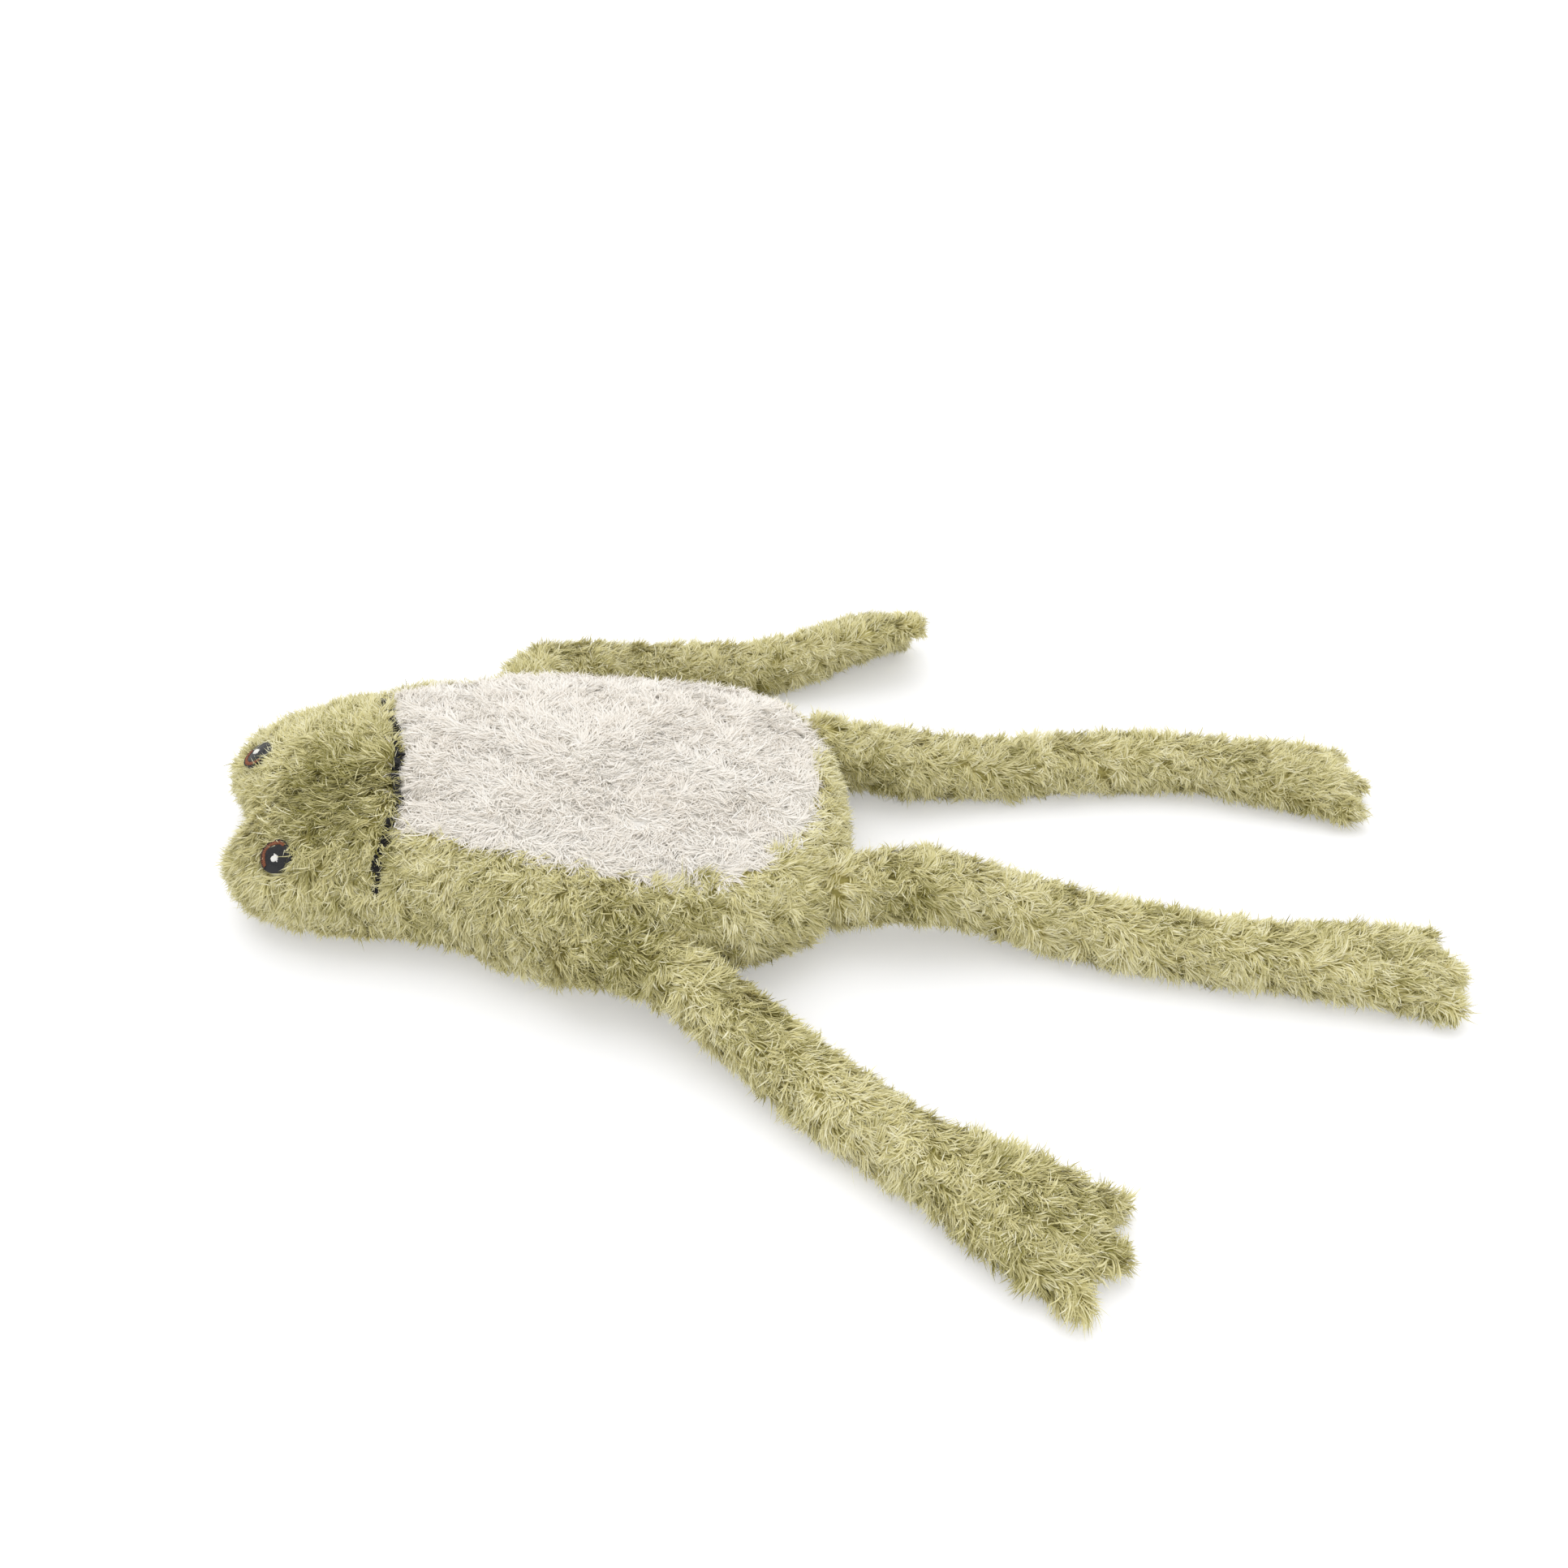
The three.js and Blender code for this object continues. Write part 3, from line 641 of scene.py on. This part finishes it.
# Each face of the body belongs to the nearest panel of the solids. The cream one hangs over to the
# left and stops short on the right.
torsoFront, belly, headPanels = 1, 2, {3, 4}    # by their order above
panelSurfaces = [surfaceOf(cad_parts[panel["node"]]) for panel in bodyPanels.values()]
bodyFaces = []
for p in bodyCover.data.polygons:
    away = [s.find_nearest(p.center + p.normal * softForm["under"] * mm)[3] / mm for s in panelSurfaces]
    nearest = int(np.argmin(away))
    beyond = body["creamBeyond"] * ease(p.center.y / mm, *body["creamBeyondFrom"])
    short = body["creamShort"] * ease(-p.center.y / mm, *body["creamShortFrom"])
    if nearest == torsoFront and away[belly] < beyond:
        nearest = belly
    elif nearest == belly and away[torsoFront] < short:
        nearest = torsoFront
    bodyFaces.append(nearest)
bodyFaces = np.array(bodyFaces)
panelsAt = [set() for _ in bodyCover.data.vertices]
for p, panel in zip(bodyCover.data.polygons, bodyFaces):
    for v in p.vertices:
        panelsAt[v].add(int(panel))
# The green panels are sewn together with a seam that sinks in; the pile hides the cream one's edge.
seams = treeOf([
    v.co for v, found in zip(bodyCover.data.vertices, panelsAt) if len(found) > 1 and belly not in found
])
# The mouth is where the head's panels meet the torso's, as far as the felt reaches.
mouthSolid = surfaceOf(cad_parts["mouth_trim"])
mouthLine = np.array([
    v.co for v, found in zip(bodyCover.data.vertices, panelsAt)
    if found & headPanels and found - headPanels
    and mouthSolid.find_nearest(v.co)[3] < body["mouthReach"] * mm
])
mouthTree = treeOf(mouthLine)
seamAway = nearestIn(seams, pointsOf(bodyCover))
mouthAway = nearestIn(mouthTree, pointsOf(bodyCover))
seamShare = np.exp(-(seamAway / body["seamWidth"]) ** 2)
mouthShare = np.exp(-(mouthAway / body["mouthWidth"]) ** 2)
sinkOrSwell(bodyCover, -np.maximum(seamShare * body["seamDepth"], mouthShare * body["mouthDepth"]))
bodySurface = surfaceOf(bodyCover)
for data in limbs.values():
    data["surface"] = surfaceOf(data["cover"])
print("covers shaped")


# Nap that runs away from a place, in mm, somewhat towards the feet, and hangs down.
def combFrom(pole, drift=(0.25, 0, -0.4)):
    def comb(points, normals):
        away = points / mm - np.array(pole)
        away[:, 2] *= 0.4
        return unit(away) + drift
    return comb


# Nap that runs along a limb, towards the toes, and hangs down at its sides.
def combAlong(path, droop=0.6):
    path = np.array(path, float) * mm
    steps = np.diff(path, axis=0)

    def comb(points, normals):
        best, way = np.full(len(points), 1e9), np.full((len(points), 3), -float(droop))
        for start, step in zip(path[:-1], steps):
            t = np.clip(((points[:, :2] - start) @ step) / (step @ step), 0, 1)
            gap = np.linalg.norm(points[:, :2] - start - t[:, None] * step, axis=1)
            nearer = gap < best
            best[nearer] = gap[nearer]
            way[nearer, :2] = step / np.linalg.norm(step)
        return way
    return comb


eye = {
    "pupil": 4.8, "pointed": 1.25, "dome": 0.5, "reach": 7.0, "under": 2.6, "sunk": 1.3,            # mm
    "satinStep": 0.46, "satinWidth": 0.62, "satinHeight": 0.55, "ragged": 0.16, "slant": 0.05,
    "rimInner": 4.8, "rimOuter": 6.6, "rimSpread": 170, "rimStep": 3.8, "rimSlant": 2.2, "rimWidth": 0.5,
    "outlineAt": 6.8, "outlineStep": 11, "outlineStitch": 9.9, "outlineSpread": 184, "outlineWidth": 0.42,
    "outlineRagged": 0.1, "rimLift": 0.05, "underlayLift": -0.12, "pulled": 0.4,
    "glintStep": 0.45, "glintHalf": 1.5, "glintRound": 2.1, "glintTilt": 24, "glintLift": 0.35,
}


# Eyes are embroidered: a plane on the head for each, its first way towards the middle of the rust arc.
def eyePlane(side):
    pupil, rim = (pointsOf(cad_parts[side + part]) for part in ("_eye_pupil", "_eye_rim"))
    out = np.linalg.svd(pupil - pupil.mean(0))[2][2]
    out = out * np.sign(out[2])
    top = unit(rim.mean(0) - pupil.mean(0) - out * ((rim.mean(0) - pupil.mean(0)) @ out))
    ways = np.stack([top, np.cross(out, top), out])
    spans = pupil @ ways.T
    middle, top = ((spans.max(0) + spans.min(0)) / 2) @ ways, np.ptp(spans[:, 2]) / 2 / mm
    return {"middle": middle, "ways": ways, "top": top - eye["sunk"]}


eyePlanes = {side: eyePlane(side) for side in ("left", "right")}
eyeClearing = {"left": 3.7, "right": 5.6, "depth": 8}     # mm, of the head's fibres


def clearOfFace(roots):
    kept = nearestIn(mouthTree, roots) > body["clearOfTrim"]
    for side, plane in eyePlanes.items():
        local = (roots - plane["middle"]) @ plane["ways"].T / mm
        beside = np.hypot(local[:, 0], local[:, 1]) > eyeClearing[side]
        kept &= beside | (abs(local[:, 2]) > eyeClearing["depth"])
    return kept


# Pile that only a lifted limb bares is still grown, down to a depth.
def buriedIn(surface, roots):
    return insideOf(surface, roots) & (distancesTo(surface, roots) > limbRoots["bare"] * mm)


def clearOfLimbs(roots):
    kept = clearOfFace(roots)
    for data in limbs.values():
        near = np.linalg.norm(roots[:, :2] / mm - data["path"][0], axis=1) < limbRoots["far"]
        kept[near] &= ~buriedIn(data["surface"], roots[near])
    return kept


seeds = {"body": 100, "limbs": 200, "eyes": 40, "mouth": 3}
bodyData = Cover(bodyCover)
# the cover's tone: uneven, with the zones' painted shade and light, and painted shade along the seams' crease
bodyToneAndShade = np.clip(coverTonesAndShade(bodyData.points, 5) + body["seamShade"] * seamShare, *toneEnds)
for number, (name, panel) in enumerate(bodyPanels.items()):
    faces = bodyFaces == number
    comb = combFrom(panel["pole"])
    grown = growPile(bodyData, faces, panel["pile"], comb, seeds["body"] + 10 * number, clearOfLimbs)
    cream = panel["pile"] is creamPile
    piece = plushPiece(name, bodyData, faces, grown, creamFleece if cream else greenFleece, bodyToneAndShade)
    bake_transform(piece)
    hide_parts(panel["node"])

# Filling of slick siliconised polyester fibre: white, soft and lumpy.
filling = clothLike(
    "polyester fibre filling", "TexNoise", {"Scale": 260.0, "Detail": 4.0},
    [(0.3, "#dedcd6"), (0.7, "#f6f5f2")],
    (0.6, 1.5), {"Roughness": 0.9, "Specular IOR Level": 0.2, "Sheen Weight": 0.3},
)

bodyStuffing = fillingOf(bodyCover, "bodyStuffing")
bodyStuffing.data.materials.append(filling)
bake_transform(bodyStuffing)
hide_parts("torso_stuffing", "head_stuffing")
bpy.data.objects.remove(bodyCover)
print("body dressed")

for number, (limb, data) in enumerate(limbs.items()):
    upper, lower = data["parts"]
    cover = data["cover"]
    coverData = Cover(cover)
    faces = np.ones(len(coverData.faces), bool)
    path = data["path"]

    def clearOfBody(roots):
        kept = np.ones(len(roots), bool)
        near = np.linalg.norm(roots[:, :2] / mm - path[0], axis=1) < limbRoots["far"]
        kept[near] = ~buriedIn(bodySurface, roots[near])
        return kept

    grown = growPile(coverData, faces, greenPile, combAlong(path), seeds["limbs"] + 10 * number, clearOfBody)
    tone = np.clip(coverTonesAndShade(coverData.points, 6 + number), *toneEnds)
    sleeve = plushPiece(limb + "Sleeve", coverData, faces, grown, greenFleece, tone)
    stuffing = fillingOf(cover, limb + "Stuffing")
    stuffing.data.materials.append(filling)
    bpy.data.objects.remove(cover)
    bend = np.array(data["bend"])
    near = min(range(1, len(path) - 1), key=lambda i: math.dist(path[i], bend))
    way = unit(np.subtract(path[near + 1], path[near - 1])) * limbRoots["bendReach"]
    start, end = ((*((bend + s * way) * mm).tolist(), limbRoots["bendHeight"] * mm) for s in (-1, 1))
    for o in (sleeve, stuffing):
        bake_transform(o)
    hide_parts(upper + "_sleeve", lower + "_sleeve")
    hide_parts(upper + "_stuffing", lower + "_stuffing")
print("limbs dressed")

# Mouth trim of black felt, caught in the seam: matted wool-like fibre, no shine, a little furry.
felt = clothLike(
    "black needle felt", "TexNoise", {"Scale": 2200.0, "Detail": 3.0}, [(0.3, "#151516"), (0.7, "#2c2b2b")],
    (0.5, 0.3), {"Roughness": 0.95, "Specular IOR Level": 0.15, "Sheen Weight": 0.15},
)

mouth = {
    "voxel": 0.7, "foldAxis": (-40, 0, 27), "foldWay": (-0.2164, 0.9763), "foldRadius": 31.8,    # mm
    "thinner": 0.2, "wander": 0.25, "wanderSize": 7, "proud": 2.1, "lineStep": 4,
}
mouthTrim = remesh(copiesOf(["mouth_trim"], "mouthTrim"), mouth["voxel"])
mouthTrim.name = "mouthTrim"
finishWith(mouthTrim, "SMOOTH", factor=0.5, iterations=6)
uneven = waves(pointsOf(mouthTrim), mouth["wanderSize"], seeds["mouth"])
sinkOrSwell(mouthTrim, mouth["wander"] * uneven - mouth["thinner"])

# the solid leans with the fold; the felt stands upright in the seam, just proud of the cover
points = pointsOf(mouthTrim)
foldWay = np.array(mouth["foldWay"])
foldOut = np.array([foldWay[1], -foldWay[0]])
fromAxis = points / mm - mouth["foldAxis"]
along, out, up = fromAxis[:, :2] @ foldWay, fromAxis[:, :2] @ foldOut, fromAxis[:, 2]
lineFromAxis = (mouthLine / mm - mouth["foldAxis"])[:, :2]
lineAlong, lineOut = lineFromAxis @ foldWay, lineFromAxis @ foldOut
places = np.arange(lineAlong.min(), lineAlong.max(), mouth["lineStep"])
line = [lineOut[abs(lineAlong - place) < mouth["lineStep"]].mean() for place in places]
upright = np.interp(along, places, line) + np.hypot(out, up) - mouth["foldRadius"]
points[:, :2] += ((upright - out)[:, None] * foldOut) * mm
for i, p in enumerate(points):
    at, normal, _, _ = bodySurface.find_nearest(p)
    points[i] -= np.array(normal) * max(0, (Vector(p) - at).dot(normal) - mouth["proud"] * mm)
movePoints(mouthTrim, points)
pick(mouthTrim)
bpy.ops.object.shade_smooth()
mouthTrim.data.materials.append(felt)
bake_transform(mouthTrim)
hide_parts("mouth_trim")
print("mouth trim", len(mouthTrim.data.vertices), "points")


# Embroidery thread of twisted rayon: bright and smooth, with a fine twist every 0.35 mm along it.
def thread(name, dark, light):
    return clothLike(
        name, "TexWave", {"Scale": 900.0, "Distortion": 2.0}, [(0.2, dark), (0.8, light)],
        (0.35, 0.1), {"Roughness": 0.42, "Sheen Weight": 0.1},
    )


blackThread = thread("black rayon thread", "#08080a", "#151518")
rustThread = thread("rust rayon thread", "#743c1f", "#a1603a")
whiteThread = thread("white rayon thread", "#dcd9d2", "#faf9f5")


# One stitch: a short thread along Y, as long and as thick as 1, with blunt ends.
def modelStitch():
    bpy.ops.mesh.primitive_uv_sphere_add(segments=6, ring_count=8, radius=0.5)
    o = bpy.context.object
    inEditMode(o, lambda: bpy.ops.transform.rotate(
        value=math.pi / 2, orient_axis="X", center_override=(0, 0, 0)))
    points = pointsOf(o)
    radius = np.maximum(np.hypot(points[:, 0], points[:, 2]), 1e-6)
    blunt = 0.5 * np.sqrt(np.maximum(0, 1 - (2 * abs(points[:, 1])) ** 4))
    points[:, [0, 2]] *= (blunt / radius)[:, None]
    faces = [tuple(p.vertices) for p in o.data.polygons]
    bpy.data.objects.remove(o)
    return points, faces


stitchPoints, stitchFaces = modelStitch()


def onDome(plane, flat, lift):
    rise = plane["top"] + eye["dome"] * (1 - (flat ** 2).sum(-1) / eye["reach"] ** 2) + lift
    local = np.concatenate([flat, rise[..., None]], -1) * mm
    return plane["middle"] + local @ plane["ways"]


# Copies of the stitch from place to place on an eye's plane, in mm, their ends pulled into the cloth.
def embroider(plane, lines, width, height, lift=0.0):
    t = stitchPoints[:, 1] + 0.5
    places, faces = [], []
    for number, (start, end) in enumerate(lines):
        start, end = np.array(start), np.array(end)
        way = unit(end - start)
        side = np.array([way[1], -way[0]])
        flat = start + (end - start) * t[:, None] + side * stitchPoints[:, :1] * width
        pulled = eye["pulled"] * (2 * abs(t - 0.5)) ** 6
        places.append(onDome(plane, flat, lift + stitchPoints[:, 2] * height - pulled))
        faces += [tuple(i + number * len(t) for i in face) for face in stitchFaces]
    return np.concatenate(places), faces


def meshPiece(name, parts, material):
    places, faces = [], []
    for part, partFaces in parts:
        shift = sum(len(p) for p in places)
        places.append(part)
        faces += [tuple(i + shift for i in face) for face in partFaces]
    mesh = bpy.data.meshes.new(name)
    mesh.from_pydata(np.concatenate(places).tolist(), [], faces)
    mesh.polygons.foreach_set("use_smooth", np.ones(len(faces), bool))
    mesh.materials.append(material)
    o = bpy.data.objects.new(name, mesh)
    scene.collection.objects.link(o)
    return o


# The patch under the stitches: a flat dome let into the pile.
def underlay(plane):
    bpy.ops.mesh.primitive_uv_sphere_add(segments=36, ring_count=14, radius=1)
    o = bpy.context.object
    points = pointsOf(o)
    flat = unit(points[:, :2]) * (np.hypot(points[:, 0], points[:, 1]) * eye["reach"])[:, None]
    lift = np.where(points[:, 2] > -0.01, eye["underlayLift"], -eye["under"])
    faces = [tuple(p.vertices) for p in o.data.polygons]
    bpy.data.objects.remove(o)
    return onDome(plane, flat, lift), faces


def onCircle(radius, angle):
    return radius * math.cos(math.radians(angle)), radius * math.sin(math.radians(angle))


for number, (side, plane) in enumerate(eyePlanes.items()):
    rng = np.random.default_rng(seeds["eyes"] + number)
    hand = 1 if side == "left" else -1

    # a stitch between two circles or along one, its ends a little uneven
    def between(ends, angles, uneven):
        return tuple(onCircle(radius + rng.normal(0, uneven), a) for radius, a in zip(ends, angles))

    satin = []
    for s in np.arange(-eye["pupil"] * eye["pointed"] + 0.3, eye["pupil"] - 0.1, eye["satinStep"]):
        share = 1 - (s / eye["pupil"] / (eye["pointed"] if s < 0 else 1)) ** 2
        half = eye["pupil"] * max(0.08, share) ** (0.72 if s < 0 else 0.5)
        start = (s, -half + rng.normal(0, eye["ragged"]))
        satin.append((start, (s + rng.normal(0, eye["slant"]), half + rng.normal(0, eye["ragged"]))))
    outline = [
        between([eye["outlineAt"]] * 2, (a, a + eye["outlineStitch"]), eye["outlineRagged"])
        for a in np.arange(-eye["outlineSpread"] / 2, eye["outlineSpread"] / 2, eye["outlineStep"])
    ]
    arc = [
        between((eye["rimInner"], eye["rimOuter"]), (a, a + eye["rimSlant"] * (-1) ** k), eye["ragged"])
        for k, a in enumerate(np.arange(-eye["rimSpread"] / 2, eye["rimSpread"] / 2, eye["rimStep"]))
    ]
    glintNode = pointsOf(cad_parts[side + "_eye_glint"])
    glintAt = ((glintNode.max(0) + glintNode.min(0)) / 2 - plane["middle"]) @ plane["ways"].T[:, :2] / mm
    tilt = math.radians(eye["glintTilt"] * hand)
    along, beside = np.array([math.cos(tilt), math.sin(tilt)]), np.array([-math.sin(tilt), math.cos(tilt)])
    shine = []
    for s in np.arange(-eye["glintHalf"], eye["glintHalf"] + 0.01, eye["glintStep"]):
        share = math.sqrt(max(0, 1 - (s / eye["glintRound"]) ** 2))
        half = max(0.5, share * eye["glintHalf"] + rng.normal(0, 0.2))
        shine.append((glintAt + beside * s - along * half, glintAt + beside * s + along * half))
    pupil = meshPiece(side + "EyePupil", [
        underlay(plane),
        embroider(plane, satin, eye["satinWidth"], eye["satinHeight"]),
        embroider(plane, outline, eye["outlineWidth"], eye["satinHeight"]),
    ], blackThread)
    rim = meshPiece(side + "EyeRim", [
        embroider(plane, arc, eye["rimWidth"], eye["satinHeight"], eye["rimLift"]),
    ], rustThread)
    glint = meshPiece(side + "EyeGlint", [
        embroider(plane, shine, eye["satinWidth"], eye["satinHeight"], eye["glintLift"]),
    ], whiteThread)
    for o, part, slot in ((pupil, "pupil", "black"), (rim, "rim", "rust"), (glint, "glint", "white")):
        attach(o, "head")
        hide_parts(f"{side}_eye_{part}")
print("eyes embroidered")

# Seam tabs: the closed end of each sleeve, gathered into a small round of its backing cloth.
tabCloth = clothLike(
    "brushed knit backing", "TexWave", {"Scale": 520.0, "Distortion": 1.5, "bands_direction": "Z"},
    [(0.1, "#a79f68"), (0.9, "#c6bf8c")],
    (0.5, 0.2), {"Roughness": 0.85, "Specular IOR Level": 0.25, "Sheen Weight": 0.2},
)

seamTab = {
    "radius": 7.3, "thickness": 2.9, "rounding": 0.8, "inset": 2.6,                # mm
    "pleats": 14, "pleatDepth": 0.45, "dimple": 0.56, "dimpleFrom": (1, 5.84),
}
bpy.ops.mesh.primitive_cylinder_add(
    vertices=56, radius=seamTab["radius"] * mm, depth=seamTab["thickness"] * mm, rotation=(math.pi / 2, 0, 0))
tab = bpy.context.object
bpy.ops.object.transform_apply(rotation=True)
inEditMode(
    tab, lambda: bpy.ops.mesh.bevel(offset=seamTab["rounding"] * mm, segments=3),
    lambda: bpy.ops.mesh.select_all(action="DESELECT"),
)
for p in tab.data.polygons:
    p.select = abs(p.normal.y) > 0.99
bpy.ops.object.mode_set(mode="EDIT")
bpy.ops.mesh.inset(thickness=seamTab["inset"] * mm, use_individual=True)
bpy.ops.mesh.inset(thickness=seamTab["inset"] * mm, use_individual=True)
bpy.ops.object.mode_set(mode="OBJECT")
points = pointsOf(tab)
out = np.hypot(points[:, 0], points[:, 2]) / mm
pleat = np.cos(seamTab["pleats"] * np.arctan2(points[:, 2], points[:, 0])) * out / seamTab["radius"]
shrink = 1 - seamTab["pleatDepth"] * (1 - pleat) / 2 / seamTab["radius"]
points[:, [0, 2]] *= shrink[:, None]
points[:, 1] *= 1 - 2 * seamTab["dimple"] / seamTab["thickness"] * (1 - ease(out, *seamTab["dimpleFrom"]))
movePoints(tab, points)
pick(tab)
bpy.ops.object.shade_smooth()
tab.data.materials.append(tabCloth)
for limb in limbs:
    piece = duplicate(tab, limb + "SeamTab")
    low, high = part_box(limb + "_seam_tab")
    movePoints(piece, pointsOf(piece) + (np.array(low) + np.array(high)) / 2)
    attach(piece, limb + "_root")
    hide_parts(limb + "_seam_tab")
bpy.data.objects.remove(tab)
print("seam tabs gathered")

# Floor: a white paper sweep that keeps the frog's shadow and shows as white itself.
bpy.ops.mesh.primitive_plane_add(size=12, location=(0, 0, 0))
floor = bpy.context.object
floor.name = "floor"
sweep = newMaterial("white paper sweep")
rays = addNode(sweep, "LightPath")
seen = rays.outputs["Is Camera Ray"]
for kind in ("Glossy", "Transmission"):
    either = addNode(sweep, "Math", {"operation": "MAXIMUM"}, {0: seen, 1: rays.outputs[f"Is {kind} Ray"]})
    seen = either.outputs[0]
paper = addNode(sweep, "BsdfDiffuse", {"Color": toLinear("#e6e6e8")})
glow = addNode(sweep, "Emission", {"Color": (1, 1, 1, 1), "Strength": 0.3})
lifted = addNode(sweep, "AddShader", links={0: paper.outputs[0], 1: glow.outputs[0]})
shown = addNode(sweep, "MixShader", links={"Fac": seen, 1: paper.outputs[0], 2: lifted.outputs[0]})
addNode(sweep, "OutputMaterial", links={"Surface": shown.outputs[0]})
floor.data.materials.append(sweep)

studio = bpy.data.worlds.new("studio")
scene.world = studio
studio.use_nodes = True
sky = studio.node_tree.nodes["Background"]
sky.inputs["Color"].default_value = (1, 1, 1, 1)
sky.inputs["Strength"].default_value = 0.82

lamps = {
    "overhead": {"from": (-0.1, 0.45, 1), "angle": 60, "strength": 1.05},
    "fill": {"from": (0.5, -1, 0.9), "angle": 90, "strength": 0.3},
}
for name, lamp in lamps.items():
    bpy.ops.object.light_add(type="SUN", location=lamp["from"])
    o = bpy.context.object
    o.name = name
    o.data.angle = math.radians(lamp["angle"])
    o.data.energy = lamp["strength"]
    o.rotation_euler = (-Vector(lamp["from"])).to_track_quat("-Z", "Y").to_euler()
scene.view_settings.view_transform = "Standard"
print("floor and light set")
